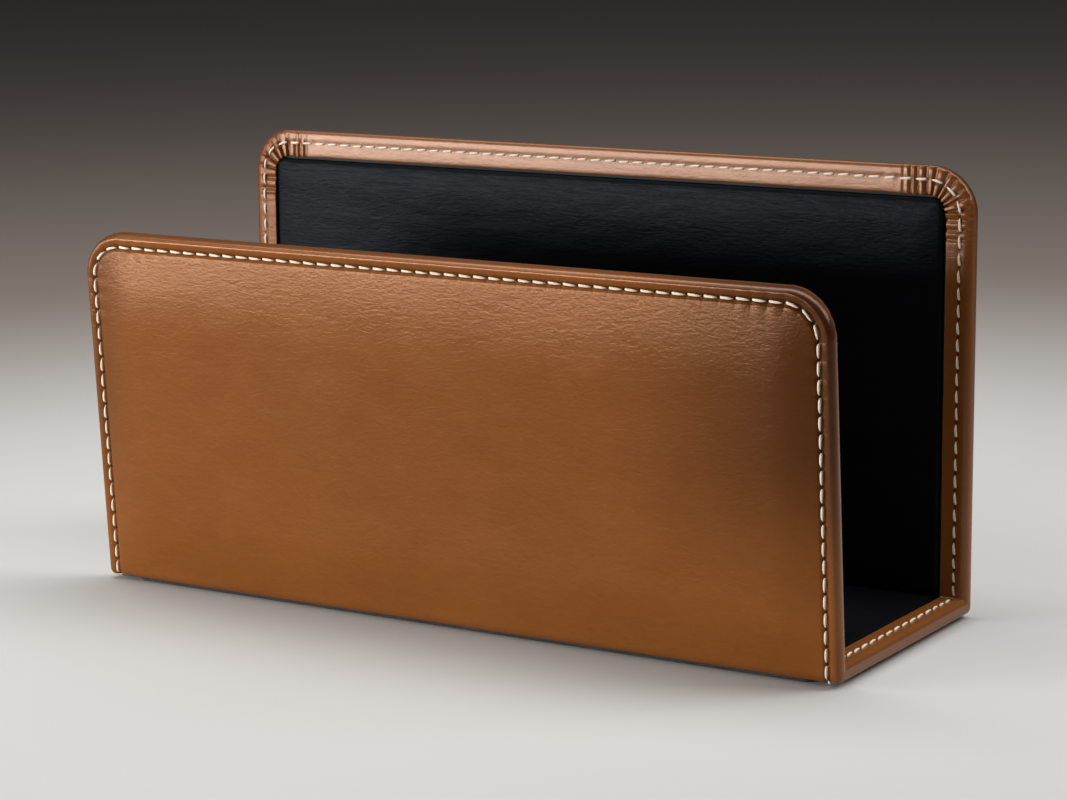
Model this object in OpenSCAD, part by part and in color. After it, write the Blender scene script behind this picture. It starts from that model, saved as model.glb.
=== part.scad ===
// Leather letter holder: a U of bent sheet steel, padded, wrapped in one piece of tan leather
// and lined in black. X runs along the walls, the front wall faces -Y, and Z = 0 is the desk.

/* [Holder] */
// Width across the open ends
width = 240; // [180:1:320]
// Depth over the two walls at the foot
depth = 78; // [60:1:120]
// Height of the front wall above the desk
front_height = 103; // [80:1:150]
// Height of the rear wall above the desk
rear_height = 123; // [90:1:180]
// Outward lean of both walls, in degrees
lean = 2.2; // [0:0.1:6]
// Radius of the upper corners of both walls
corner_r = 13; // [10:0.5:24]
// Outside radius of the bend between the base and a wall
bend_r = 2.2; // [1.6:0.1:6]

/* [Layers] */
// Thickness of the tan leather
leather_t = 1.1; // [0.8:0.1:1.4]
// Thickness of the padding at the seam
padding_t = 1.2; // [0.8:0.1:2.5]
// Thickness of the sheet steel
steel_t = 1.2; // [0.8:0.1:2]
// Thickness of the card inside the lining panels
card_t = 0.6; // [0.4:0.1:1]
// Thickness of the black lining leather
lining_t = 0.7; // [0.5:0.1:1]
// Thickness of the felt under the base
felt_t = 1; // [0.8:0.1:3]
// Thickness of a glue line between two layers
glue_t = 0.05; // [0.03:0.01:0.1]

/* [Padding] */
// How far the padding swells out in the middle of a wall
crown = 2; // [0:0.1:3]
// Distance from the seam over which it swells
crown_run = 14; // [10:1:24]
// Distance above the bend over which it swells
crown_foot = 16; // [8:1:24]

/* [Seam] */
// Distance of the seam from the edge of the leather
seam_inset = 3.7; // [3.4:0.1:4.4]
// Spacing of the stitches
stitch_pitch = 4.65; // [3.5:0.05:6]
// Length of one stitch
stitch_len = 3.7; // [2.5:0.1:5]
// Diameter of the thread
thread_d = 0.8; // [0.6:0.05:1.2]
// How far the ends of a stitch sink into the leather
stitch_sink = 0.2; // [0.1:0.05:0.3]
// How far the middle of a stitch rises above its ends
stitch_rise = 0.2; // [0.1:0.05:0.4]
// Distance from the seam to the edge of the steel and the padding
core_gap = 1.1; // [1:0.1:1.6]

/* [Hem] */
// Width of the leather that is turned in round the lining
hem_w = 7.8; // [6.5:0.1:9]
// Height of the folds gathered at the corners
pleat_h = 0.4; // [0:0.05:0.6]
// Number of folds at one corner
pleats = 7; // [4:1:9]
// Gap between the hem and a lining panel
lining_gap = 0.7; // [0.3:0.1:1.5]
// Corner radius of the lining panels
lining_corner_r = 4; // [2:0.5:6]
// Radius of the turned edge of a lining panel
lining_edge_r = 1; // [0.6:0.1:1.2]

/* [Felt] */
// Distance from the felt to the open ends of the holder
felt_inset = 9; // [7:0.5:20]
// Corner radius of the felt
felt_corner_r = 3; // [1:0.5:6]

/* [Hidden] */
$fn = 48;

// Thickness of a wall at its rim, and the radius of the rim's round bead
wall_t = 2 * leather_t + padding_t + steel_t + 3 * glue_t;
bead_r = wall_t / 2;
bead_inner_r = bead_r - leather_t;

// Depth of each layer below the outer face of the leather
padding_n = leather_t + glue_t;
steel_n = padding_n + padding_t + glue_t;
lining_n = steel_n + steel_t + glue_t;
lining_top_n = lining_n + card_t + glue_t + lining_t;

// Bend between the base and a wall: the turn it makes, the radius of the layers that meet in its
// crease, and the length over which these layers give way to each other
turn = 90 - lean;
bend_len = bend_r * turn * PI / 180;
crease_r = 0.25;
give_run = 15;
function bend_r_at(n) = max(bend_r - n, crease_r);
function give_at(n) = (n + bend_r_at(n) - bend_r) * tan(turn / 2);

// Height of the leather's underside, and half the flat length of the base
under_z = felt_t + glue_t;
base_half = depth / 2 - bend_r * (1 - sin(lean)) / cos(lean);

// Where a wall starts on the flat pattern, and where each wall ends
wall_start = base_half + bend_len;
function wall_len(height) = (height - under_z - bend_r + (bend_r - bead_r) * cos(turn)) / sin(turn);
front_end = wall_start + wall_len(front_height);
rear_end = wall_start + wall_len(rear_height);

// Outline of the steel and the padding, inside the seam
core_inset = seam_inset + core_gap;

// Groove that the thread lies in
groove_play = 0.15;
thread_seat = 0.05;
groove_r = thread_d / 2 + groove_play;
groove_floor = stitch_sink + thread_d / 2 + thread_seat;
groove_lip = groove_r + 0.25;

// Cord in the fold of the rim, a regular tube inside the leather's inner facets
bead_step = 52;
bead_wrap = 130;
cord_r = bead_inner_r * cos(bead_step / 2) - glue_t;
cord_sides = 8;

// Lining panels
lining_inset = hem_w + lining_gap;
lining_half_w = width / 2 - lining_inset;
lining_foot_r = 1.5;

// Facets along a corner, a bend and the rise of the padding
corner_facets = 2 * pleats;
plain_facets = 7;
bend_facets = 6;
crown_facets = 3;
least_corner_r = 0.5;

// Smooth step from 0 to 1
function ease(t) = let(u = min(max(t, 0), 1)) u * u * (3 - 2 * u);

// Turn of the sheet at s on the flat pattern, in degrees, negative on the front side
function turn_at(s) =
    sign(s) * min(max((abs(s) - base_half) / bend_r * 180 / PI, 0), turn);

// Folds a point of the flat pattern into the U: x across, s from front to rear, n inwards
function fold(x, s, n) =
    let(
        give = give_at(n),
        r = bend_r_at(n),
        a = abs(turn_at(s)),
        flat = min(abs(s), base_half),
        short = flat - give * max(1 - (base_half - flat) / give_run, 0),
        up = max(abs(s) - wall_start, 0),
        rise = up - give * min(up / give_run, 1),
        y = short + r * sin(a) + rise * cos(a),
        z = under_z + n + r - r * cos(a) + rise * sin(a)
    )
    [x, s < 0 ? -y : y, z];

// A sheet on the flat pattern: half width, front end, rear end, corner radius at each end,
// facets in a corner, and the stations along its sides
bend_stations = [for (i = [0:bend_facets]) base_half + bend_len * i / bend_facets];
foot_stations = [for (i = [1:crown_facets]) wall_start + crown_foot * i / crown_facets];
rear_stations = concat(bend_stations, foot_stations);
u_stations = concat([for (i = [len(rear_stations) - 1:-1:0]) -rear_stations[i]], rear_stations);
function u_sheet(facets) =
    [width / 2, -front_end, rear_end, corner_r, corner_r, facets, u_stations];

// Right half of a sheet's outline at inset d, from the front edge to the rear edge
function half_outline(sheet, d) =
    let(
        r_f = max(sheet[3] - d, least_corner_r),
        r_r = max(sheet[4] - d, least_corner_r),
        x = sheet[0] - d,
        s_f = sheet[1] + d + r_f,
        s_r = sheet[2] - d - r_r,
        facets = sheet[5]
    )
    concat(
        [for (i = [0:facets]) let(a = 90 * i / facets) [x - r_f + r_f * sin(a), s_f - r_f * cos(a)]],
        [for (s = sheet[6]) [x, s]],
        [for (i = [0:facets]) let(a = 90 * i / facets) [x - r_r + r_r * cos(a), s_r + r_r * sin(a)]]
    );

// Share of the padding's swell at s: none on the base, whole up on a wall
function crown_at(s) = ease((abs(s) - wall_start) / crown_foot);

// Every second point round a corner is the crest of a fold
function crest(i, count, facets) =
    let(k = min(i, count - 1 - i)) k <= facets && k % 2 == 1 ? 1 : 0;

// One closed loop of a sheet. The section point is [inset, depth, share of swell, share of fold]
function loop(sheet, p) =
    let(
        half = half_outline(sheet, p[0]),
        count = len(half),
        n = [for (i = [0:count - 1])
            p[1] - crown * p[2] * crown_at(half[i][1]) + pleat_h * p[3] * crest(i, count, sheet[5])]
    )
    concat(
        [for (i = [0:count - 1]) fold(half[i][0], half[i][1], n[i])],
        [for (i = [count - 1:-1:0]) fold(-half[i][0], half[i][1], n[i])]
    );

// Triangles between two neighbouring loops, split along either diagonal
function band(a, b, count, other = false) =
    [for (i = [0:count - 1]) let(j = (i + 1) % count)
        each other
            ? [[a + i, a + j, b + i], [a + j, b + j, b + i]]
            : [[a + i, a + j, b + j], [a + i, b + j, b + i]]];

// Strips across the inside of a loop
function cap(start, count, flip) =
    [for (i = [0:count / 2 - 2])
        let(q = [start + i, start + i + 1, start + count - 2 - i, start + count - 1 - i])
        flip ? [q[3], q[2], q[1], q[0]] : q];

// Solid of a sheet whose section runs from the middle of one face, round the edge, to the other.
// Both faces are split alike, so that layers which lie on each other have the same facets.
module wrapped(sheet, section) {
    loops = [for (p = section) loop(sheet, p)];
    count = len(loops[0]);
    last = len(loops) - 1;
    polyhedron(
        points = [for (l = loops) each l],
        faces = concat(
            cap(0, count, false),
            [for (k = [0:last - 1])
                each band((k + 1) * count, k * count, count, section[k + 1][0] > section[k][0])],
            cap(last * count, count, true)
        ),
        convexity = 8
    );
}

// Closed tube along a sheet's edge, with a section of [inset, depth] points
module edge_tube(sheet, section) {
    loops = [for (p = section) loop(sheet, [p[0], p[1], 0, 0])];
    count = len(loops[0]);
    sides = len(loops);
    polyhedron(
        points = [for (l = loops) each l],
        faces = [for (k = [0:sides - 1]) each band(((k + 1) % sides) * count, k * count, count)],
        convexity = 8
    );
}

// Places a flat sheet on a wall, turned about the bend: x across, y up the wall, z inwards
module on_rear_wall() {
    translate([0, base_half, under_z + bend_r]) rotate([turn, 0, 0]) translate([0, 0, -bend_r]) children();
}
module on_front_wall() {
    mirror([0, 1, 0]) on_rear_wall() children();
}

// Flat sheet of half width hw from y0 to y1, with corners of radius r0 at y0 and r1 at y1
module flat_sheet(hw, y0, y1, r0, r1, t) {
    right = half_outline([hw, y0, y1, r0, r1, plain_facets, []], 0);
    left = [for (i = [len(right) - 1:-1:0]) [-right[i][0], right[i][1]]];
    linear_extrude(t) polygon(concat(right, left));
}

// Tan leather: padded outside, round rim, seam groove on both faces, hem gathered at the corners
module outer_cover() {
    groove_n = groove_floor - groove_r;
    lip_d = seam_inset + groove_lip;
    core_edge = core_inset - glue_t;
    crown_u = [for (k = [crown_facets:-1:1]) k / crown_facets];
    outside = concat(
        [for (u = crown_u) [lip_d + crown_run * u, 0, sin(90 * u), 0]],
        [[lip_d, 0, 0, 0]],
        [for (a = [70:-35:-70]) [seam_inset + groove_r * sin(a), groove_n + groove_r * cos(a), 0, 0]]
    );
    rim = [for (a = [-90:30:90]) [bead_r - bead_r * cos(a), bead_r + bead_r * sin(a), 0, max(sin(a), 0) / 3]];
    hem_round = leather_t / 4;
    hem = concat(
        [for (a = [-70:35:70])
            [seam_inset + groove_r * sin(a), wall_t - groove_n - groove_r * cos(a), 0, 0]],
        [
            [lip_d, wall_t, 0, 0.6],
            [hem_w - hem_round, wall_t, 0, 1],
            [hem_w, wall_t - hem_round, 0, 1],
            [hem_w, lining_n, 0, 0],
            [core_edge, lining_n, 0, 0],
            [seam_inset, lining_n - groove_floor, 0, 0]
        ]
    );
    rim_inside = [for (a = [bead_wrap:-bead_step:-bead_wrap])
        [bead_r - bead_inner_r * cos(a), bead_r + bead_inner_r * sin(a), 0, 0]];
    inside = concat(
        [[seam_inset, leather_t + groove_floor, 0, 0], [core_edge, leather_t, 0, 0]],
        [for (k = [1:crown_facets]) let(u = k / crown_facets)
            [lip_d + crown_run * u, leather_t, sin(90 * u), 0]]
    );
    color("peru") wrapped(u_sheet(corner_facets), concat(outside, rim, hem, rim_inside, inside));
}

// Sheet steel bent into a U, with round upper corners
module steel_core() {
    section = [[core_inset, steel_n, 0, 0], [core_inset, steel_n + steel_t, 0, 0]];
    color("silver") wrapped(u_sheet(plain_facets), section);
}

// Padding glued to the outside of the steel, swollen in the middle of both walls
module padding_sheet() {
    lip_d = seam_inset + groove_lip;
    section = concat(
        [for (k = [crown_facets:-1:1]) let(u = k / crown_facets)
            [lip_d + crown_run * u, padding_n, sin(90 * u), 0]],
        [[core_inset, padding_n, 0, 0], [core_inset, steel_n - glue_t, 0, 0]]
    );
    color("gainsboro") wrapped(u_sheet(plain_facets), section);
}

// Cord that fills the round rim
module edge_cord() {
    section = [for (k = [0:cord_sides - 1]) let(a = 360 * k / cord_sides)
        [bead_r - cord_r * cos(a), bead_r + cord_r * sin(a)]];
    color("tan") edge_tube(u_sheet(plain_facets), section);
}

// Lining panel between s0 and s1 on the flat pattern: black leather turned over the edge of its card
module lining_panel(s0, s1, r0, r1) {
    sheet = [lining_half_w, s0, s1, r0, r1, plain_facets, []];
    section = concat(
        [
            [lining_t, lining_n + card_t + glue_t, 0, 0],
            [lining_t, lining_n, 0, 0],
            [0, lining_n, 0, 0]
        ],
        [for (a = [0:30:90])
            [lining_edge_r * (1 - cos(a)), lining_top_n - lining_edge_r * (1 - sin(a)), 0, 0]]
    );
    color([0.1, 0.11, 0.13]) wrapped(sheet, section);
}
module front_lining() {
    lining_panel(-front_end + lining_inset, -wall_start, lining_corner_r, lining_foot_r);
}
module base_lining() {
    lining_panel(-base_half, base_half, lining_foot_r, lining_foot_r);
}
module rear_lining() {
    lining_panel(wall_start, rear_end - lining_inset, lining_foot_r, lining_corner_r);
}

// Card inside a lining panel between y0 and y1, lying in the turned leather
card_edge = lining_t + glue_t;
card_give = give_at(lining_n + card_t);
module lining_card(y0, y1, r0, r1) {
    color("burlywood") translate([0, 0, lining_n])
        flat_sheet(lining_half_w - card_edge, y0, y1, r0 - card_edge, r1 - card_edge, card_t);
}
module wall_card(end) {
    lining_card(card_edge + card_give, end - lining_inset - wall_start - card_edge, lining_foot_r, lining_corner_r);
}
module front_lining_card() {
    on_front_wall() wall_card(front_end);
}
module base_lining_card() {
    half = base_half - card_give - card_edge;
    translate([0, 0, under_z]) lining_card(-half, half, lining_foot_r, lining_foot_r);
}
module rear_lining_card() {
    on_rear_wall() wall_card(rear_end);
}

// Seam line on the flat pattern: straight sides and quarter circles, by distance along it
seam_r = corner_r - seam_inset;
seam_x = width / 2 - corner_r;
seam_across = 2 * seam_x;
seam_along = rear_end + front_end - 2 * corner_r;
seam_arc = seam_r * PI / 2;
seam_quarters = [seam_across, seam_arc, seam_along, seam_arc, seam_across, seam_arc, seam_along, seam_arc];
function seam_before(k) = k == 0 ? 0 : seam_before(k - 1) + seam_quarters[k - 1];
seam_total = seam_before(8);
seam_mid = (rear_end - front_end) / 2;

// Corner centres of the seam line, and the point at distance u along it from the front left corner
seam_corners = [[1, -1], [1, 1], [-1, 1], [-1, -1]];
function seam_corner(k) = [seam_corners[k][0] * seam_x, seam_mid + seam_corners[k][1] * seam_along / 2];
function seam_part(u, k = 0) = k == 7 || u < seam_before(k + 1) ? k : seam_part(u, k + 1);
function seam_at(u) =
    let(
        k = seam_part(u),
        side = floor(k / 2),
        is_arc = k % 2 == 1,
        v = u - seam_before(k),
        heading = 90 * side + (is_arc ? v / seam_r * 180 / PI : 0),
        corner = seam_corner(is_arc ? side : (side + 3) % 4)
    )
    corner + seam_r * [sin(heading), -cos(heading)] + (is_arc ? 0 : v) * [cos(heading), sin(heading)];

// Stitches in each part of the seam, and how far along the seam stitch i of part k is
seam_counts = [for (l = seam_quarters) round(l / stitch_pitch)];
function stitch_at(k, i) = seam_before(k) + (i + 0.5) * seam_quarters[k] / seam_counts[k];

// One stitch: an arc of thread from point a, over point m, to point b
module stitch(a, m, b) {
    chord = norm(b - a);
    heading = (b - a) / chord;
    lift = m - (a + b) / 2;
    square_lift = lift - (lift * heading) * heading;
    rise = norm(square_lift);
    up = square_lift / rise;
    across = cross(up, heading);
    arc_r = (chord * chord / 4 + rise * rise) / (2 * rise);
    half = asin(chord / 2 / arc_r);
    multmatrix([for (k = [0:2]) [heading[k], across[k], up[k], m[k]]])
        translate([0, 0, -arc_r]) rotate([90, 0, 0]) rotate([0, 0, 90 - half])
            rotate_extrude(angle = 2 * half) translate([arc_r, 0]) circle(d = thread_d);
}

// Point on the seam at distance u, at depth n
function seam_point(u, n) = let(p = seam_at(u)) fold(p[0], p[1], n);

// Stitches along the whole seam on one face: outside, or on the hem, where the crease has none
module stitch_run(outside) {
    end_n = outside ? stitch_sink : wall_t - stitch_sink;
    mid_n = outside ? end_n - stitch_rise : end_n + stitch_rise;
    for (k = [0:7], i = [0:seam_counts[k] - 1]) {
        u = stitch_at(k, i);
        s = abs(seam_at(u)[1]);
        in_crease = s > base_half - stitch_len / 2 && s < wall_start + stitch_len / 2;
        if (outside || !in_crease)
            stitch(
                seam_point(u - stitch_len / 2, end_n),
                seam_point(u, mid_n),
                seam_point(u + stitch_len / 2, end_n)
            );
    }
}
module outer_stitches() {
    color("antiquewhite") stitch_run(true);
}
module inner_stitches() {
    color("antiquewhite") stitch_run(false);
}

// Felt sheet that the holder stands on
module base_felt() {
    color("dimgray")
        flat_sheet(width / 2 - felt_inset, -base_half, base_half, felt_corner_r, felt_corner_r, felt_t);
}

outer_cover();
steel_core();
padding_sheet();
edge_cord();
front_lining();
base_lining();
rear_lining();
front_lining_card();
base_lining_card();
rear_lining_card();
outer_stitches();
inner_stitches();
base_felt();
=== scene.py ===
"""Leather letter holder: a U of padded tan leather with a stitched round rim and black lining panels.

The flat pattern of the holder is folded into its U by fold(). All sizes are in millimetres until
fold() turns them into metres in the frame of the model.
"""
import math
import random

import bmesh
import bpy
from mathutils import Matrix, Vector, noise


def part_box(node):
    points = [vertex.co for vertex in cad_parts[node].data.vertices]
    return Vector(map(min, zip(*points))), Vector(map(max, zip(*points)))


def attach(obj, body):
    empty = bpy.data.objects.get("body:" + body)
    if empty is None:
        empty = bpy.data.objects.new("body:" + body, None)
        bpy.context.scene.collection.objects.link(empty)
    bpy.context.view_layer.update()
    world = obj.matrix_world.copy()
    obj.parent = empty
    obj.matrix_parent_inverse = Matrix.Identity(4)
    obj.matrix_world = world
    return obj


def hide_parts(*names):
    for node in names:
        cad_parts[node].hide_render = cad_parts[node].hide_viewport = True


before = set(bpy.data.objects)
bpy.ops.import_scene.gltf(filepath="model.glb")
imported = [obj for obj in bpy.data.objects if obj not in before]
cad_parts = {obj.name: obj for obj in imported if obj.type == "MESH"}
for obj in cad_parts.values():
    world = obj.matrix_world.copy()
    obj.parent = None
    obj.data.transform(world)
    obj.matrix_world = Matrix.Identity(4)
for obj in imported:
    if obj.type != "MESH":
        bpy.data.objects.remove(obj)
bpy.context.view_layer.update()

MM = 0.001

# Holder sizes
cover_low, cover_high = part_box("outer_cover")
WIDTH = (cover_high.x - cover_low.x) / MM
REAR_HEIGHT = cover_high.z / MM
FRONT_HEIGHT = 103
DEPTH = 78
LEAN = math.radians(2.2)
CORNER_R = 13
BEND_R = 2.2
CREASE_R = 0.25
GIVE_RUN = 15

# Layers of a wall
LEATHER_T = 1.1
WALL_T = 4.75
LINING_N = 3.65
LINING_TOP_N = 5.0
LINING_T = 0.6
FELT_T = 1.0
FELT_SKIN_T = 0.6
UNDER_Z = 1.05

# Padding under the outer leather
CROWN = 1.5
CROWN_RUN_TOP = 24
CROWN_RUN_SIDE = 14
CROWN_FOOT = 18
FACE_DRIFT = 0.14

# Seam and thread. Stitches of the hem are longer on the base than on the walls
SEAM_INSET = 3.7
STITCH_PITCH = 4.65
STITCH_LEN = 3.75
HEM_STITCH = 0.93
BASE_STITCH = 1.16
STITCH_RISE = 0.16
STITCH_DIVE = 0.36
THREAD_D = 0.84
THREAD_FLATNESS = 0.92
THREAD_SIDES = 7
THREAD_RINGS = 7
GROOVE_R = 0.6
GROOVE_FLOOR = 0.7
GROOVE_LIP = 0.9
HEM_GROOVE = 0.06
FACE_LIP_N = 0.2

# Bead of the rim: the depth of its crest, its reach on the padded face and how square it is
CREST_N = 3.3
FACE_BEAD_R = 1.7
FLAT_POWER = 0.4
ROUND_POWER = 0.85

# How deep the thread pulls the leather in at a needle hole
FACE_PINCH = 0.1
GROOVE_PINCH = 0.2
BEAD_PINCH = 0.07
HEM_PINCH = 0.04
HEM_GROOVE_PINCH = 0.06

# Hem, and its folds at the right front, right rear, left rear and left front corner
HEM_W = 7.8
HEM_WAVE = 0.05
EDGE_WAVE = 0.14
GATHER_REACH = 16.5
GATHER_FADE = 5
FOLD_NARROWEST = 1.6
FOLD_WIDEST = (2.8, 2.8, 3.5, 3.5)
FOLD_SHARPNESS = (1.6, 1.6, 0.8, 0.8)
FOLD_FLANKS = (0.24, 0.28)
FOLD_LIFT = 1.3
FOLD_MIDDLE = 0.65
FOLD_PULL = 0.35

# Share of the folds' height down the sides, in the groove and on the bead
SIDE_FOLDS = 0.65
GROOVE_FOLDS = 0.7
RIGHT_BEAD_FOLDS = 0.8
LEFT_BEAD_FOLDS = 0.25

# Lining panels and felt, whose edge is fuzzy
LINING_INSET = 8.5
LINING_CORNER_R = 4
LINING_FOOT_R = 1.5
LINING_EDGE_R = 1.0
LINING_PUFF = 0.4
LINING_WAVE = 0.09
LINING_CREASE = 0.12
LINING_COLUMNS = 112
LINING_ROW = 1.7
FELT_INSET = 9
FELT_CORNER_R = 3
FELT_FUZZ = 0.12
FELT_FUZZ_X = 111
FELT_FUZZ_S = 33
FELT_COLUMNS = 90
FELT_ROWS = 26

# Bend between the base and a wall, and the walls on the flat pattern
BEAD_R = WALL_T / 2
TURN = math.pi / 2 - LEAN
BASE_HALF = DEPTH / 2 - BEND_R * (1 - math.sin(LEAN)) / math.cos(LEAN)
WALL_START = BASE_HALF + BEND_R * TURN


def wall_length(height):
    """Length of a wall on the flat pattern, from its bend to the crest of its rim."""
    rise = height - UNDER_Z - BEND_R + (BEND_R - BEAD_R) * math.cos(TURN)
    return rise / math.sin(TURN)


FRONT_END = WALL_START + wall_length(FRONT_HEIGHT)
REAR_END = WALL_START + wall_length(REAR_HEIGHT)
LINING_HALF_W = WIDTH / 2 - LINING_INSET


def ease(t):
    """Smooth step from 0 to 1."""
    t = min(max(t, 0), 1)
    return t * t * (3 - 2 * t)


def fold(x, s, n):
    """Place in the U of a point on the flat pattern: x across, s from front to rear, n inwards.
    Layers deeper than the bend's radius meet in a sharp crease, and give way to each other near it."""
    away = abs(s)
    reach = max(BEND_R - n, CREASE_R)
    give = (n + reach - BEND_R) * math.tan(TURN / 2)
    turn = min(max((away - BASE_HALF) / BEND_R, 0), TURN)
    flat = min(away, BASE_HALF)
    short = flat - give * max(1 - (BASE_HALF - flat) / GIVE_RUN, 0)
    up = max(away - WALL_START, 0)
    rise = up - give * min(up / GIVE_RUN, 1)
    y = short + reach * math.sin(turn) + rise * math.cos(turn)
    z = UNDER_Z + n + reach - reach * math.cos(turn) + rise * math.sin(turn)
    return Vector((x, math.copysign(y, s), z)) * MM


# Rounded sheets on the flat pattern

class Spot:
    """A point of a rounded sheet: its ring, the run of the edge that it belongs to, its share of that
    run, its inset from the edge, its depth and its flat place."""

    def __init__(self, ring, run, share, inset, depth, x, s):
        self.ring = ring
        self.run = run
        self.share = share
        self.inset = inset
        self.depth = depth
        self.x = x
        self.s = s

    def ripple(self, across, along, layer):
        """Soft noise at the spot, with waves of these lengths, in one of its layers."""
        return noise.noise(Vector((self.x / across, self.s / along, layer)))


class Sheet:
    """A sheet with round corners. Rings follow its edge, from the first to the last point of its
    section, and a plain grid fills the middle. The eight runs of the edge start with the front side
    and its right corner, and go round by the right side, the rear and the left side."""

    def __init__(self, half_width, start, end, section, across, along):
        self.half_width = half_width
        self.start = start
        self.end = end
        self.section = section
        self.across = across
        self.along = along
        self.rings = len(section) - 1
        self.columns = len(across) - 1 + 2 * self.rings
        self.rows = len(along) - 1 + 2 * self.rings

    def edge_place(self, run, share, inset, front_r, rear_r):
        """Flat place of a share of one run of the edge, at an inset with its own corner radii."""
        signs = [(1, -1), (1, 1), (-1, 1), (-1, -1)]

        def centre(corner):
            side, end = signs[corner % 4]
            r = front_r if end < 0 else rear_r
            s = self.start + inset + r if end < 0 else self.end - inset - r
            return Vector((side * (self.half_width - inset - r), s)), r

        side = run // 2
        heading = math.pi / 2 * side
        if run % 2:
            middle, r = centre(side)
            heading += math.pi / 2 * share
            return middle + r * Vector((math.sin(heading), -math.cos(heading)))
        first, first_r = centre(side + 3)
        last, last_r = centre(side)
        outwards = Vector((math.sin(heading), -math.cos(heading)))
        return (first + first_r * outwards).lerp(last + last_r * outwards, share)

    def spot(self, column, row):
        """The spot of a grid point, counted from the front left corner."""
        last = self.rings
        right = self.columns - column
        rear = self.rows - row
        ring = min(column, right, row, rear, last)
        if ring == last and min(column, right, row, rear) >= last:
            inset, depth = self.section[last][:2]
            half = self.half_width - inset
            x = half * (2 * self.across[column - last] - 1)
            length = self.end - self.start - 2 * inset
            s = self.start + inset + length * self.along[row - last]
            edge = min(self.half_width - abs(x), s - self.start, self.end - s)
            return Spot(last + 1, 0, self.across[column - last], max(edge, inset), depth, x, s)
        part = 0.5 / (last - ring)
        if row == ring:
            run, share = self.side_share(0, column - last, self.across, part)
        elif right == ring:
            run, share = self.side_share(2, row - last, self.along, part)
        elif rear == ring:
            run, share = self.side_share(4, right - last, backwards(self.across), part)
        else:
            run, share = self.side_share(6, rear - last, backwards(self.along), part)
        inset, depth, front_r, rear_r = self.section[ring]
        place = self.edge_place(run, share, inset, front_r, rear_r)
        return Spot(ring, run, share, inset, depth, place.x, place.y)

    def side_share(self, run, step, stations, part):
        """Run and share of a point that lies some steps past the start of a side."""
        if step < 0:
            return (run + 7) % 8, 1 + step * part
        if step >= len(stations):
            return run + 1, (step - len(stations) + 1) * part
        return run, stations[step]

    def mesh(self, name, shape, mapping, flip=False):
        """Mesh of the sheet. shape gives a spot's place, and mapping its two map coordinates."""
        bm = bmesh.new()
        bmesh.ops.create_grid(bm, x_segments=self.columns, y_segments=self.rows, size=1)
        chart = bm.loops.layers.uv.new("seam_map")
        spots = {}
        for v in bm.verts:
            column = round((v.co.x + 1) / 2 * self.columns)
            row = round((v.co.y + 1) / 2 * self.rows)
            spots[v] = self.spot(column, row)
        for v, spot in spots.items():
            v.co = shape(spot)
        for face in bm.faces:
            face.smooth = True
            points = [mapping(spots[loop.vert]) for loop in face.loops]
            widest = max(p[0] for p in points)
            for loop, p in zip(face.loops, points):
                wrapped = p[0] + SEAM_STITCHES if widest - p[0] > SEAM_STITCHES / 2 else p[0]
                loop[chart].uv = (wrapped, p[1])
        if not flip:
            bmesh.ops.reverse_faces(bm, faces=bm.faces[:])
        mesh = bpy.data.meshes.new(name)
        bm.to_mesh(mesh)
        bm.free()
        return mesh


def even_stations(cells):
    """Shares that divide a side evenly."""
    return [i / cells for i in range(cells + 1)]


def backwards(stations):
    """The same shares, counted from the other end of a side."""
    return [1 - share for share in reversed(stations)]


# The seam, which runs round the whole flat pattern

SEAM_R = CORNER_R - SEAM_INSET
SEAM_ARC = SEAM_R * math.pi / 2
SEAM_ACROSS = WIDTH - 2 * CORNER_R
SEAM_ALONG = FRONT_END + REAR_END - 2 * CORNER_R
RUN_LENGTHS = [SEAM_ACROSS, SEAM_ARC, SEAM_ALONG, SEAM_ARC] * 2
RUN_STITCHES = [round(length / STITCH_PITCH) for length in RUN_LENGTHS]
SEAM_STITCHES = sum(RUN_STITCHES)


def seam_stitch(run, share):
    """Stitches from the start of the seam to a place on it. Whole numbers are needle holes."""
    return sum(RUN_STITCHES[:run]) + share * RUN_STITCHES[run]


FINE_STITCHES = 3
FINE_CELLS = 11
PLAIN_CELLS = 2


def seam_stations(run, bends):
    """Shares along a side: a few cells for a stitch, and more where the leather is gathered or bent."""
    count = RUN_STITCHES[run]
    shares = [0.0]
    for i in range(count):
        place = (i + 0.5) / count * RUN_LENGTHS[run]
        at_end = min(i, count - 1 - i) < FINE_STITCHES
        in_bend = any(low < place < high for low, high in bends)
        parts = FINE_CELLS if at_end or in_bend else PLAIN_CELLS
        shares += [(i + (c + 1) / parts) / count for c in range(parts)]
    return shares


def corner_distance(run, share):
    """Nearest corner, and the distance along the seam from its middle."""
    if run % 2:
        return run // 2, (share - 0.5) * SEAM_ARC
    along = share * RUN_LENGTHS[run]
    left = RUN_LENGTHS[run] - along
    if along < left:
        return (run // 2 + 3) % 4, SEAM_ARC / 2 + along
    return run // 2, -SEAM_ARC / 2 - left


# Outer leather

def groove_point(a):
    """Point of the seam's groove at angle a from its floor, as inset and depth."""
    return SEAM_INSET + GROOVE_R * math.sin(a), GROOVE_FLOOR - GROOVE_R * (1 - math.cos(a))


# Rings of the bead, which follow those of the hem, and steps from its crest to a groove's floor
BEAD_ANGLES = [math.radians(a) for a in (89.9, 78, 62, 48, 34, 18, 0, -18, -34, -48, -60, -72, -84)]
BEAD_START = 13
GROOVE_STEPS = 9


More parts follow.
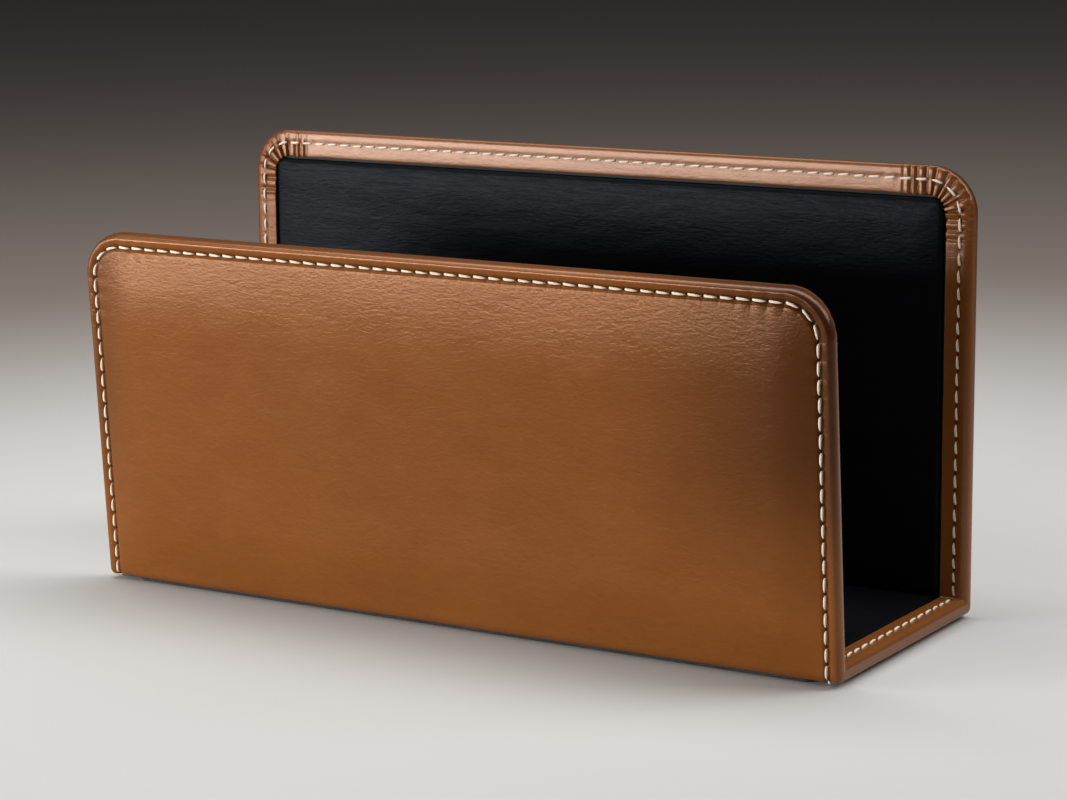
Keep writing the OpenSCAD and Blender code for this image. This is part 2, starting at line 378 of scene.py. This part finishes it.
def bead_point(a, rounding):
    """Point of the rim's bead at angle a, as inset and depth. Where it isn't rounded, it is flat on
    the hem's side and its crest lies near the hem."""
    crest = CREST_N + (BEAD_R - CREST_N) * rounding
    power = FLAT_POWER + (ROUND_POWER - FLAT_POWER) * rounding if a > 0 else ROUND_POWER
    half = WALL_T - crest if a > 0 else crest
    reach = BEAD_R if a > 0 else FACE_BEAD_R
    flat_cos = math.cos(a) ** power
    flat_sin = math.copysign(abs(math.sin(a)) ** power, a)
    return reach - reach * flat_cos, crest + half * flat_sin


def bead_rounding(run, share):
    """How round the bead is: flat on the hem along the two top edges, and round down the sides."""
    if run % 2 == 0:
        return run // 2 % 2
    return ease(share) if run % 4 == 1 else ease(1 - share)


def cover_section():
    """Section of the outer leather: from the hem's cut edge, round the bead, to the padded face."""
    hem = [(HEM_W, WALL_T - 0.4), (HEM_W - 0.05, WALL_T - 0.15), (HEM_W - 0.18, WALL_T - 0.03)]
    hem += [(HEM_W - 0.35, WALL_T), (6.6, WALL_T), (5.85, WALL_T), (5.1, WALL_T)]
    lip = SEAM_INSET + GROOVE_LIP
    groove = [groove_point(math.radians(a)) for a in (55, 19, -19, -55)]
    near_lip = SEAM_INSET - GROOVE_LIP
    points = hem + [(lip, WALL_T - 0.01)]
    points += [(d, WALL_T - HEM_GROOVE * n) for d, n in groove]
    points += [(near_lip, WALL_T - 0.01)]
    points += [bead_point(a, 0) for a in BEAD_ANGLES]
    points += [(near_lip, FACE_LIP_N)]
    points += reversed(groove)
    points += [(lip, 0.04), (5.2, 0), (6.1, 0), (7.6, 0), (9.8, 0), (CORNER_R, 0)]
    return [(d, n, CORNER_R - d, CORNER_R - d) for d, n in points]


COVER_SECTION = cover_section()
CREST = min(range(len(COVER_SECTION)), key=lambda k: COVER_SECTION[k][0])


def section_lengths(section, crest):
    """Length along a section from its crest to each of its points, negative before the crest."""
    steps = [math.dist(a[:2], b[:2]) for a, b in zip(section, section[1:])]
    sums = [sum(steps[:k]) for k in range(len(section))]
    return [length - sums[crest] for length in sums]


def cover_sheet():
    """The flat pattern of the outer leather, with finer rows in its two bends."""
    shift = FRONT_END - CORNER_R
    low, high = BASE_HALF - 1, WALL_START + 1
    bends = [(shift - high, shift - low), (shift + low, shift + high)]
    across = seam_stations(0, [])
    along = seam_stations(2, bends)
    return Sheet(WIDTH / 2, -FRONT_END, REAR_END, COVER_SECTION, across, along)


COVER = cover_sheet()


def rim_place(run, share, inset):
    """Flat place at an inset from the rim."""
    return COVER.edge_place(run, share, inset, CORNER_R - inset, CORNER_R - inset)


COVER_LENGTHS = section_lengths(COVER_SECTION, CREST)


def groove_v(step):
    """Map coordinate of a groove's floor, which lies between two rings some steps from the crest."""
    return (COVER_LENGTHS[CREST + step] + COVER_LENGTHS[CREST + step + 1]) / 2


SEAM_V = groove_v(GROOVE_STEPS)
HEM_SEAM_V = groove_v(-GROOVE_STEPS - 1)


def gathers(corner):
    """Folds gathered at one corner of the hem: their creases along the seam and their heights."""
    dice = random.Random(11 * corner + 4)
    creases = [-GATHER_REACH]
    heights = []
    while creases[-1] < GATHER_REACH:
        creases.append(creases[-1] + dice.uniform(FOLD_NARROWEST, FOLD_WIDEST[corner]))
        heights.append(dice.uniform(0.6, 1))
    return creases, heights


GATHERS = [gathers(corner) for corner in range(4)]


def gather_height(run, share):
    """Height of the gathered folds at a place along the seam, from 0 in a crease to 1, and their
    strength, which fades away from the corner."""
    corner, place = corner_distance(run, share)
    if abs(place) >= GATHER_REACH:
        return 0, 0
    creases, heights = GATHERS[corner]
    k = max(i for i, c in enumerate(creases) if c <= place)
    t = (place - creases[k]) / (creases[k + 1] - creases[k])
    strength = ease((GATHER_REACH - abs(place)) / GATHER_FADE) * (SIDE_FOLDS if run % 4 == 2 else 1)
    flanks = min(t / FOLD_FLANKS[0], 1) * min((1 - t) / FOLD_FLANKS[1], 1)
    return heights[k] * flanks ** FOLD_SHARPNESS[corner], strength


def swell(x, s):
    """How far the padding pushes the leather out."""
    def rise(gap, run):
        return math.sin(math.pi / 2 * min(max((gap - SEAM_INSET - GROOVE_LIP) / run, 0), 1))

    end = REAR_END if s > 0 else FRONT_END
    sides = rise(WIDTH / 2 - abs(x), CROWN_RUN_SIDE)
    top = rise(end - abs(s), CROWN_RUN_TOP)
    return CROWN * sides * top * ease((abs(s) - WALL_START) / CROWN_FOOT)


def face_depth(spot, pinch):
    """Depth of a spot between the bead's crest and the padded face, pinched at the needle holes."""
    d = spot.inset
    lip = SEAM_INSET + GROOVE_LIP
    drift = FACE_DRIFT * spot.ripple(34, 34, 3) * ease((d - 5) / 12)
    n = spot.depth - swell(spot.x, spot.s) - drift
    if d > lip - 0.01:
        return n + FACE_PINCH * pinch * math.exp((lip - d) / 1.5)
    if abs(d - SEAM_INSET) < GROOVE_R:
        return n + GROOVE_PINCH * max(pinch, 0)
    return n + BEAD_PINCH * pinch * math.exp((d - SEAM_INSET + GROOVE_LIP) / 0.9)


def hem_depth(spot, pinch, height, strength):
    """Depth of a spot of the hem, with the gathered folds of its corners."""
    d = spot.inset
    past = ease((CREST - spot.ring) / 5)
    lift = FOLD_LIFT * (height - FOLD_MIDDLE) * strength
    n = spot.depth + HEM_WAVE * spot.ripple(11, 11, 5) * past
    if abs(d - SEAM_INSET) < GROOVE_R and spot.ring < BEAD_START:
        return n + GROOVE_FOLDS * lift - HEM_GROOVE_PINCH * max(pinch, 0)
    pinched = HEM_PINCH * pinch * math.exp(-abs(d - SEAM_INSET) / 1.4)
    on_bead = RIGHT_BEAD_FOLDS if spot.x > 0 else LEFT_BEAD_FOLDS
    return n + (lift * (on_bead if d < SEAM_INSET else 1) - pinched) * past


def cover_shape(spot):
    """Place of a spot of the outer leather."""
    if spot.ring > len(COVER_SECTION) - 1:
        return fold(spot.x, spot.s, face_depth(spot, 0))
    pinch = math.cos(2 * math.pi * seam_stitch(spot.run, spot.share))
    if 0 <= spot.ring - BEAD_START < len(BEAD_ANGLES):
        rounding = bead_rounding(spot.run, spot.share)
        spot.inset, spot.depth = bead_point(BEAD_ANGLES[spot.ring - BEAD_START], rounding)
        spot.x, spot.s = rim_place(spot.run, spot.share, spot.inset)
    if spot.ring > CREST:
        return fold(spot.x, spot.s, face_depth(spot, pinch))
    height, strength = gather_height(spot.run, spot.share)
    n = hem_depth(spot, pinch, height, strength)
    pull = FOLD_PULL * (height - 0.4) * strength + EDGE_WAVE * spot.ripple(8, 8, 8)
    inset = spot.inset + pull * ease((spot.inset - 5.5) / 2)
    place = rim_place(spot.run, spot.share, inset)
    return fold(place.x, place.y, n)


def cover_mapping(spot):
    """Map coordinates of the outer leather: stitches along the seam, and distance from the crest."""
    if spot.ring < len(COVER_SECTION):
        return seam_stitch(spot.run, spot.share), COVER_LENGTHS[spot.ring]
    return 0.5, COVER_LENGTHS[-1] + spot.inset - COVER_SECTION[-1][0]


def new_piece(name, mesh, finish, slot, *nodes):
    """Puts a mesh into the scene as a piece that stands for CAD nodes."""
    piece = bpy.data.objects.new(name, mesh)
    bpy.context.scene.collection.objects.link(piece)
    mesh.materials.append(finish)
    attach(piece, "root")
    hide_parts(*nodes)
    return piece


def thicken(piece, thickness):
    """Gives a sheet its thickness, on the side away from its face."""
    solid = piece.modifiers.new("thickness", "SOLIDIFY")
    solid.thickness = thickness * MM
    solid.offset = -1


def outer_cover(finish):
    """One piece of tan leather over both walls and the base, turned in at the rim as a hem."""
    mesh = COVER.mesh("leather_cover", cover_shape, cover_mapping)
    nodes = ("outer_cover", "padding_sheet", "edge_cord")
    piece = new_piece("leather_cover", mesh, finish, "tan_leather", *nodes)
    thicken(piece, LEATHER_T)


# Lining panels

def lining_section(foot_r, corner_r):
    """Section of a lining panel, from its turned edge to its face."""
    turned = [(0.25, LINING_N + 0.02), (0.04, LINING_N + 0.15), (0, LINING_N + 0.35)]
    edge_n = LINING_TOP_N - LINING_EDGE_R
    for a in (14, 28, 42, 56, 70, 84):
        turn = math.radians(a)
        inset = 1.4 * LINING_EDGE_R * (1 - math.cos(turn))
        turned.append((inset, edge_n + LINING_EDGE_R * math.sin(turn)))
    turned += [(2, LINING_TOP_N), (3, LINING_TOP_N), (4.2, LINING_TOP_N), (5.6, LINING_TOP_N)]
    rounding = [1 - share for share in even_stations(len(turned) - 1)]
    return [(d, n, foot_r * share, corner_r * share) for (d, n), share in zip(turned, rounding)]


def lining_shape(spot):
    """Place of a spot of a lining panel: a soft face with shallow creases across it."""
    d = spot.inset
    puff = LINING_PUFF * math.sin(math.pi / 2 * min(max((d - 0.8) / 8, 0), 1))
    wave = LINING_WAVE * spot.ripple(38, 7.5, 1)
    crease = LINING_CREASE * (1 - abs(spot.ripple(30, 5.5, 4))) ** 6
    n = spot.depth + puff + ease((d - 0.6) / 4) * (wave - crease)
    return fold(spot.x, spot.s, n)


def flat_mapping(spot):
    """Map coordinates of a plain panel: its place on the flat pattern."""
    return spot.x, spot.s


def lining_panel(name, start, end, front_r, rear_r, finish, node):
    """A panel of black leather, turned over the edge of its card."""
    section = lining_section(front_r, rear_r)
    across = even_stations(LINING_COLUMNS)
    along = even_stations(round((end - start) / LINING_ROW))
    sheet = Sheet(LINING_HALF_W, start, end, section, across, along)
    mesh = sheet.mesh(name, lining_shape, flat_mapping, flip=True)
    piece = new_piece(name, mesh, finish, "lining_leather", node)
    thicken(piece, LINING_T)


def lining(finish):
    """The panels on the front wall, the base and the rear wall."""
    front = (-FRONT_END + LINING_INSET, -WALL_START, LINING_CORNER_R, LINING_FOOT_R)
    base = (-BASE_HALF, BASE_HALF, LINING_FOOT_R, LINING_FOOT_R)
    rear = (WALL_START, REAR_END - LINING_INSET, LINING_FOOT_R, LINING_CORNER_R)
    lining_panel("lining_front", *front, finish, "front_lining")
    lining_panel("lining_base", *base, finish, "base_lining")
    lining_panel("lining_rear", *rear, finish, "rear_lining")


# Stitches

def seam_frame(run, share, n):
    """Place on the seam at depth n, with its directions across the seam and inwards."""
    def at(share, n):
        place = rim_place(run, share, SEAM_INSET)
        return fold(place.x, place.y, n)

    place = at(share, n)
    along = (at(share + 0.002, n) - at(share - 0.002, n)).normalized()
    inwards = (at(share, n + 0.1) - place).normalized()
    across = inwards.cross(along).normalized()
    return place, across, inwards


def stitch_form(bm, chart):
    """A stitch as a plain round bar of length 1, which is bent to shape when it is laid."""
    bmesh.ops.create_cone(bm, cap_ends=True, segments=THREAD_SIDES, radius1=1, radius2=1, depth=1)
    long_edges = [e for e in bm.edges if abs(e.verts[0].co.z - e.verts[1].co.z) > 0.5]
    bmesh.ops.subdivide_edges(bm, edges=long_edges, cuts=THREAD_RINGS - 1, use_grid_fill=True)
    for face in bm.faces:
        face.smooth = True
        turns = [math.atan2(loop.vert.co.y, loop.vert.co.x) / (2 * math.pi) for loop in face.loops]
        for loop, turn in zip(face.loops, turns):
            wrapped = turn + 1 if max(turns) - turn > 0.5 else turn
            loop[chart].uv = (wrapped, loop.vert.co.z + 0.5)
    return bm.verts[:] + bm.edges[:] + bm.faces[:]


def lay_stitch(verts, run, middle, outside, dice):
    """Lays one stitch on the seam: it dives into a needle hole at each end, is thicker at its first
    end, and leans a little."""
    on_base = not outside and run % 4 == 2 and abs(rim_place(run, middle, SEAM_INSET).y) < BASE_HALF
    stretch = BASE_STITCH if on_base else 1 if outside else HEM_STITCH
    length = STITCH_LEN * dice.uniform(0.96, 1.03) * stretch
    lean = dice.uniform(0.16, 0.26) if on_base else dice.uniform(0.06, 0.13)
    aside = dice.uniform(-0.06, 0.06)
    thick = THREAD_D / 2 * dice.uniform(0.95, 1.06)
    face_n = 0 if outside else WALL_T
    outwards = -1 if outside else 1
    for v in verts:
        t = v.co.z * 2
        share = middle + t * length / 2 / RUN_LENGTHS[run]
        place, across, inwards = seam_frame(run, share, face_n)
        up = inwards * outwards
        taper = 0.15 + 0.6 * t ** 2 if t > 0 else 0.15 - 0.15 * t ** 2 + 0.35 * t ** 8
        rise = STITCH_RISE - STITCH_DIVE * t ** 4
        r = thick * (1 - taper)
        offset = across * (v.co.x * r + aside + lean * t)
        offset += up * (v.co.y * r * THREAD_FLATNESS + rise)
        v.co = place + offset * MM


def stitches(name, finish, outside, node):
    """The stitches on one side of the wall. On the hem there are none in the two creases."""
    bm = bmesh.new()
    chart = bm.loops.layers.uv.new("thread_map")
    form = stitch_form(bm, chart)
    dice = random.Random(3 if outside else 7)
    for run, count in enumerate(RUN_STITCHES):
        for i in range(count):
            middle = (i + 0.5) / count
            away = abs(rim_place(run, middle, SEAM_INSET).y)
            in_crease = BASE_HALF - STITCH_LEN / 2 < away < WALL_START + STITCH_LEN / 2
            if in_crease and not outside:
                continue
            copied = bmesh.ops.duplicate(bm, geom=form)["geom"]
            verts = [v for v in copied if isinstance(v, bmesh.types.BMVert)]
            lay_stitch(verts, run, middle, outside, dice)
    bmesh.ops.delete(bm, geom=[v for v in form if isinstance(v, bmesh.types.BMVert)], context="VERTS")
    bmesh.ops.recalc_face_normals(bm, faces=bm.faces[:])
    mesh = bpy.data.meshes.new(name)
    bm.to_mesh(mesh)
    bm.free()
    new_piece(name, mesh, finish, "thread", node)


# Felt under the base

def felt_shape(spot):
    """Place of a spot of the felt: nearly flat, with a fuzzy edge."""
    edge = FELT_FUZZ * spot.ripple(3, 3, 2) * ease(1 - spot.inset / 1.5)
    return fold(spot.x * (1 + edge / FELT_FUZZ_X), spot.s * (1 + edge / FELT_FUZZ_S), spot.depth)


def base_felt(finish):
    """The felt sheet that the holder stands on."""
    top, bottom = FELT_T - UNDER_Z, -UNDER_Z
    points = [(0.3, top), (0.05, top - 0.2), (0, top - 0.5), (0.08, bottom + 0.2), (0.3, bottom + 0.05)]
    points += [(0.7, bottom), (1.6, bottom), (FELT_CORNER_R, bottom)]
    section = [(d, n, FELT_CORNER_R - d, FELT_CORNER_R - d) for d, n in points]
    half = WIDTH / 2 - FELT_INSET
    across, along = even_stations(FELT_COLUMNS), even_stations(FELT_ROWS)
    sheet = Sheet(half, -BASE_HALF, BASE_HALF, section, across, along)
    mesh = sheet.mesh("felt_base", felt_shape, flat_mapping)
    piece = new_piece("felt_base", mesh, finish, "felt", "base_felt")
    thicken(piece, FELT_SKIN_T)


# Materials

def tint(red, green, blue):
    """Linear colour of a screen colour from 0 to 255."""
    def linear(value):
        value /= 255
        return value / 12.92 if value <= 0.04045 else ((value + 0.055) / 1.055) ** 2.4

    return (linear(red), linear(green), linear(blue), 1)


class Value:
    """An output of a node, with the arithmetic that adds Math nodes."""

    def __init__(self, finish, socket):
        self.finish = finish
        self.socket = socket

    def math(self, operation, first, second=0.0):
        return self.finish.node("ShaderNodeMath", {"operation": operation}, {0: first, 1: second})

    def __add__(self, other):
        return self.math("ADD", self, other)

    def __radd__(self, other):
        return self.math("ADD", other, self)

    def __sub__(self, other):
        return self.math("SUBTRACT", self, other)

    def __rsub__(self, other):
        return self.math("SUBTRACT", other, self)

    def __mul__(self, other):
        return self.math("MULTIPLY", self, other)

    def __rmul__(self, other):
        return self.math("MULTIPLY", other, self)

    def __abs__(self):
        return self.math("ABSOLUTE", self)

    def fraction(self):
        return self.math("FRACT", self)

    def sine(self):
        return self.math("SINE", self)

    def between(self, low, high):
        """Smooth share of the way from low to high."""
        sockets = {"Value": self, "From Min": low, "From Max": high}
        return self.finish.node("ShaderNodeMapRange", {"interpolation_type": "SMOOTHSTEP"}, sockets)


class Finish:
    """A material: nodes that lead to one surface shader."""

    def __init__(self, name):
        self.material = bpy.data.materials.new(name)
        self.material.use_nodes = True
        self.tree = self.material.node_tree
        self.shader = self.tree.nodes["Principled BSDF"]

    def node(self, kind, settings=None, sockets=None, output=0):
        """Adds a node: its settings first, then the values or links of its sockets."""
        made = self.tree.nodes.new(kind)
        for key, value in (settings or {}).items():
            if key == "stops":
                self.set_stops(made.color_ramp, value)
            else:
                setattr(made, key, value)
        for key, value in (sockets or {}).items():
            self.set_socket(made.inputs[key], value)
        return Value(self, made.outputs[output])

    def set_stops(self, ramp, stops):
        while len(ramp.elements) < len(stops):
            ramp.elements.new(1)
        for element, (place, colour) in zip(ramp.elements, stops):
            element.position = place
            element.color = colour

    def set_socket(self, socket, value):
        if isinstance(value, Value):
            self.tree.links.new(value.socket, socket)
        else:
            socket.default_value = value

    def surface(self, **sockets):
        """Sets the shader's own sockets. Underscores in a name stand for spaces."""
        for key, value in sockets.items():
            self.set_socket(self.shader.inputs[key.replace("_", " ")], value)
        return self.material

    def place(self, scale):
        """Object coordinates, stretched by a scale for each axis."""
        coordinates = self.node("ShaderNodeTexCoord", output="Object")
        return self.node("ShaderNodeMapping", None, {"Vector": coordinates, "Scale": scale})

    def noise(self, scale, detail=3.0, stretch=(1, 1, 1), roughness=0.5, distortion=0.0):
        sockets = {"Vector": self.place(stretch), "Scale": scale, "Detail": detail}
        sockets |= {"Roughness": roughness, "Distortion": distortion}
        return self.node("ShaderNodeTexNoise", None, sockets)

    def cells(self, scale, stretch):
        sockets = {"Vector": self.place(stretch), "Scale": scale}
        return self.node("ShaderNodeTexVoronoi", {"feature": "SMOOTH_F1"}, sockets)

    def mix(self, share, first, second):
        sockets = {0: share, 6: first, 7: second}
        return self.node("ShaderNodeMix", {"data_type": "RGBA"}, sockets, output=2)

    def ramp(self, share, *stops):
        return self.node("ShaderNodeValToRGB", {"stops": stops}, {0: share})

    def bump(self, height, distance, strength):
        sockets = {"Height": height, "Distance": distance * MM, "Strength": strength}
        return self.node("ShaderNodeBump", None, sockets)

    def split(self, vector):
        """The three coordinates of a vector."""
        first = self.node("ShaderNodeSeparateXYZ", None, {0: vector})
        return [Value(self, output) for output in first.socket.node.outputs]

    def chart(self, name):
        """The two coordinates of a piece's own map."""
        return self.split(self.node("ShaderNodeUVMap", {"uv_map": name}))[:2]


def tan_leather():
    """Smooth tan leather: soft mottling and fine grain drawn out along the walls. Painted shade darkens
    it at the seam's groove, the needle holes, the wall ends and the rear wall's left hem. A painted
    floor reflection lightens it toward the foot.
    """
    finish = Finish("tan_leather")
    along, around = finish.chart("seam_map")
    sideways, _, height = finish.split(finish.place((1, 1, 1)))
    from_hole = abs((along + 0.5).fraction() - 0.5) * STITCH_PITCH
    on_face = around.between(-1, 1)
    from_seam = abs(around - on_face * (SEAM_V - HEM_SEAM_V) - HEM_SEAM_V)
    # Dark spots at the needle holes: painted shade for holes that the mesh doesn't have.
    hole = 1 - (from_hole * from_hole + from_seam * from_seam * 1.6).between(0.05, 0.5)
    # Painted shade along the seam's groove, stronger on the face than on the hem.
    groove = (1 - from_seam.between(0.2, 1.5)) * (on_face * 0.7 + 0.3)
    pucker = (1 - from_hole.between(0.1, 0.7)) * (1 - from_seam.between(0.9, 3.4)) * on_face
    sheen = 1 - around.between(3.6, 4.4)
    clouds = finish.noise(16, 4, (1, 1, 1.4))
    patches = finish.noise(85, 5, (0.7, 1, 1.3))
    pores = finish.cells(1500, (0.6, 1, 1))
    wrinkles = finish.noise(620, 3, (0.34, 1, 1), roughness=0.6, distortion=1.2)
    creases = finish.noise(190, 4, (0.4, 1, 1), distortion=0.8)
    mottling = (clouds - 0.5) * 0.4 + (patches - 0.5) * 0.3 + (wrinkles - 0.5) * 0.35
    # Lighter toward the foot: a painted reflection of the pale floor, on top of the leather's own
    # mottling.
    mottling_and_painted_foot_light = mottling + 0.65 - height.between(0, 0.06) * 0.15
    base = finish.ramp(
        mottling_and_painted_foot_light,
        (0.2, tint(114, 61, 20)),
        (0.5, tint(124, 71, 27)),
        (0.8, tint(134, 80, 34)),
    )
    # Darker toward both ends of the walls, most at the right, and on the rear wall's left hem: painted
    # shade, mixed in as dark brown.
    painted_end_shade = sideways.between(0.05, 0.116) * 0.85 + (sideways * -1).between(0.1, 0.118) * 0.4
    left_hem = (sideways * -1).between(0.108, 0.112) * (1 - on_face)
    painted_end_and_hem_shade = (painted_end_shade * on_face + left_hem * 0.35) * height.between(0.015, 0.065)
    base_with_painted_shade = finish.mix(painted_end_and_hem_shade, base, tint(66, 33, 11))
    # Mixes in the painted groove shade as dark brown.
    with_painted_groove_shade = finish.mix(groove * 0.22, base_with_painted_shade, tint(82, 41, 18))
    # Mixes in the painted shade of the needle holes, near black.
    dark = finish.mix(hole * (on_face * 0.27 + 0.65), with_painted_groove_shade, tint(22, 11, 6))
    off_rim = abs(around).between(2, 7) * 0.6 + 0.4
    grain = (wrinkles * 0.7 + creases * 0.15) * off_rim + pores * 0.3 - pucker * 0.4
    return finish.surface(
        Base_Color=dark,
        Roughness=(creases - 0.5) * 0.12 + (patches - 0.5) * 0.08 + 0.24,
        Metallic=sheen * (on_face * 0.17 + 0.03),
        Coat_Weight=sheen * (0.5 - on_face * 0.16) * (1 - left_hem * 0.8),
        Coat_Roughness=0.3,
        Normal=finish.bump(grain, 0.2, 0.45),
        Specular_IOR_Level=0.3,
        Specular_Tint=(1, 0.55, 0.32, 1),
    )


def lining_leather():
    """Black lining leather with long soft creases across the panels."""
    finish = Finish("lining_leather")
    clouds = finish.noise(30, 4, (0.6, 1, 1))
    creases = finish.noise(800, 4, (0.16, 1, 1), roughness=0.6, distortion=1.4)
    pores = finish.cells(1100, (0.6, 1, 1))
    base = finish.ramp(clouds, (0.3, tint(12, 12, 15)), (0.7, tint(18, 18, 22)))
    grain = pores * 0.35 + creases * 0.9
    return finish.surface(
        Base_Color=base,
        Roughness=(creases - 0.5) * 0.16 + 0.31,
        Normal=finish.bump(grain, 0.24, 0.5),
        Specular_IOR_Level=0.045,
        Specular_Tint=(0.75, 0.88, 1, 1),
    )


def waxed_thread():
    """Cream thread of three twisted plies."""
    finish = Finish("waxed_thread")
    around, along = finish.chart("thread_map")
    twist = (around * 3 + along * 5) * (2 * math.pi)
    ply = twist.sine() * 0.5 + 0.5
    fibre = finish.noise(2600, 2)
    # Darker cream in the grooves between the plies and lighter on their crests: painted shade of the
    # twist.
    base = finish.ramp(ply * 0.7 + fibre * 0.3, (0.1, tint(243, 217, 184)), (0.6, tint(255, 243, 220)))
    return finish.surface(
        Base_Color=base,
        Roughness=fibre * 0.2 + 0.35,
        Normal=finish.bump(ply + fibre * 0.3, 0.08, 0.6),
    )


def grey_felt():
    """Pressed felt with loose fibres."""
    finish = Finish("grey_felt")
    fibre = finish.noise(1500, 6, roughness=0.7)
    patches = finish.noise(120, 4)
    base = finish.ramp(fibre * 0.6 + patches * 0.4, (0.3, tint(40, 38, 37)), (0.7, tint(78, 74, 71)))
    return finish.surface(Base_Color=base, Roughness=0.95, Normal=finish.bump(fibre, 0.3, 0.8))


def primed_steel():
    """Sheet steel under a thin black primer, with fine rolling marks."""
    finish = Finish("sheet_steel")
    marks = finish.noise(700, 4, (0.04, 1, 1))
    stains = finish.noise(40, 4)
    base = finish.ramp(stains, (0.3, tint(22, 21, 20)), (0.7, tint(34, 33, 31)))
    return finish.surface(
        Base_Color=base,
        Roughness=marks * 0.2 + 0.6,
        Normal=finish.bump(marks, 0.02, 0.4),
    )


def grey_card():
    """Pressed grey card."""
    finish = Finish("grey_card")
    fibre = finish.noise(900, 5, (0.5, 1, 1))
    base = finish.ramp(fibre, (0.3, tint(146, 136, 122)), (0.7, tint(176, 166, 150)))
    return finish.surface(Base_Color=base, Roughness=0.9, Normal=finish.bump(fibre, 0.06, 0.5))


def pale_floor():
    """Pale floor with a painted pool of light round the holder: it is darker away from the holder."""
    finish = Finish("pale_floor")
    patches = finish.noise(3, 2)
    near = finish.ramp(patches, (0.3, tint(204, 203, 200)), (0.7, tint(210, 209, 206)))
    place = {0: finish.place((1, 1, 1))}
    away = finish.node("ShaderNodeVectorMath", {"operation": "LENGTH"}, place, output="Value")
    # Painted light falloff: the floor turns darker away from the holder.
    base = finish.mix(away.between(0.18, 0.6), near, tint(150, 138, 130))
    return finish.surface(Base_Color=base, Roughness=0.6, Specular_IOR_Level=0.05)


def dress_node(node, finish):
    """Gives a CAD node that keeps its shape a finish."""
    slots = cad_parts[node].data.materials
    slots.clear()
    slots.append(finish)


# Camera, floor and lights

IMAGE_W = 1067
FOCAL_PX = 3214.457
SENSOR_W = 36
CAMERA_PLACE = Vector((483.156, -733.418, 238.793)) * MM
CAMERA_TURN = math.radians(33.136)
CAMERA_DIP = math.radians(11.716)
CAMERA_ROLL = math.radians(-1.485)
FLOOR_HALF = 8


def camera():
    """Camera at the photograph's viewing angle."""
    data = bpy.data.cameras.new("camera")
    data.sensor_fit = "HORIZONTAL"
    data.sensor_width = SENSOR_W
    data.lens = SENSOR_W * FOCAL_PX / IMAGE_W
    data.clip_start = 0.05
    data.clip_end = 60
    cam = bpy.data.objects.new("camera", data)
    bpy.context.scene.collection.objects.link(cam)
    dip, turn = CAMERA_DIP, CAMERA_TURN
    forward = Vector((-math.sin(turn) * math.cos(dip), math.cos(turn) * math.cos(dip), -math.sin(dip)))
    right = Vector((math.cos(turn), math.sin(turn), 0))
    up = right.cross(forward)
    rolled_right = math.cos(CAMERA_ROLL) * right + math.sin(CAMERA_ROLL) * up
    rolled_up = math.cos(CAMERA_ROLL) * up - math.sin(CAMERA_ROLL) * right
    axes = Matrix((rolled_right, rolled_up, -forward)).transposed()
    cam.matrix_world = Matrix.Translation(CAMERA_PLACE) @ axes.to_4x4()
    bpy.context.scene.camera = cam


def floor():
    """Large plain floor under the holder."""
    bm = bmesh.new()
    bmesh.ops.create_grid(bm, x_segments=8, y_segments=8, size=FLOOR_HALF)
    mesh = bpy.data.meshes.new("floor")
    bm.to_mesh(mesh)
    bm.free()
    mesh.materials.append(pale_floor())
    ground = bpy.data.objects.new("floor", mesh)
    bpy.context.scene.collection.objects.link(ground)


def soft_light(name, place, target, width, height, power):
    """A large rectangular lamp aimed at a target."""
    data = bpy.data.lights.new(name, "AREA")
    data.shape = "RECTANGLE"
    data.size = width
    data.size_y = height
    data.energy = power
    lamp = bpy.data.objects.new(name, data)
    bpy.context.scene.collection.objects.link(lamp)
    lamp.location = place
    lamp.rotation_euler = (Vector(target) - Vector(place)).to_track_quat("-Z", "Y").to_euler()
    lamp.visible_camera = False


def lights():
    """Soft light from above and the left, a low one at the front left and a weak one at the right,
    over a dim grey surround."""
    soft_light("key_light", (-0.52, -0.48, 0.72), (0, -0.03, 0.1), 0.36, 0.5, 1.5)
    soft_light("top_light", (-0.04, 0.13, 0.92), (0.03, -0.1, 0), 1.3, 0.42, 8.3)
    soft_light("left_light", (-0.64, -0.36, 0.13), (0, 0, 0.07), 0.4, 0.26, 1.1)
    soft_light("low_light", (-0.45, -0.68, 0.12), (0, 0, 0.09), 0.48, 0.15, 4.3)
    soft_light("right_light", (0.55, 0.28, 0.5), (0.15, 0.02, 0.03), 0.35, 0.35, 1.6)
    world = bpy.data.worlds.new("surround")
    bpy.context.scene.world = world
    world.use_nodes = True
    sky = world.node_tree.nodes["Background"]
    sky.inputs["Color"].default_value = (0.9, 0.93, 1, 1)
    sky.inputs["Strength"].default_value = 0.06


camera()
floor()
lights()
bpy.context.scene.view_settings.view_transform = "Standard"

outer_cover(tan_leather())
lining(lining_leather())
thread = waxed_thread()
stitches("thread_outside", thread, True, "outer_stitches")
stitches("thread_inside", thread, False, "inner_stitches")
base_felt(grey_felt())
dress_node("steel_core", primed_steel())
card = grey_card()
for panel_card in ("front_lining_card", "base_lining_card", "rear_lining_card"):
    dress_node(panel_card, card)
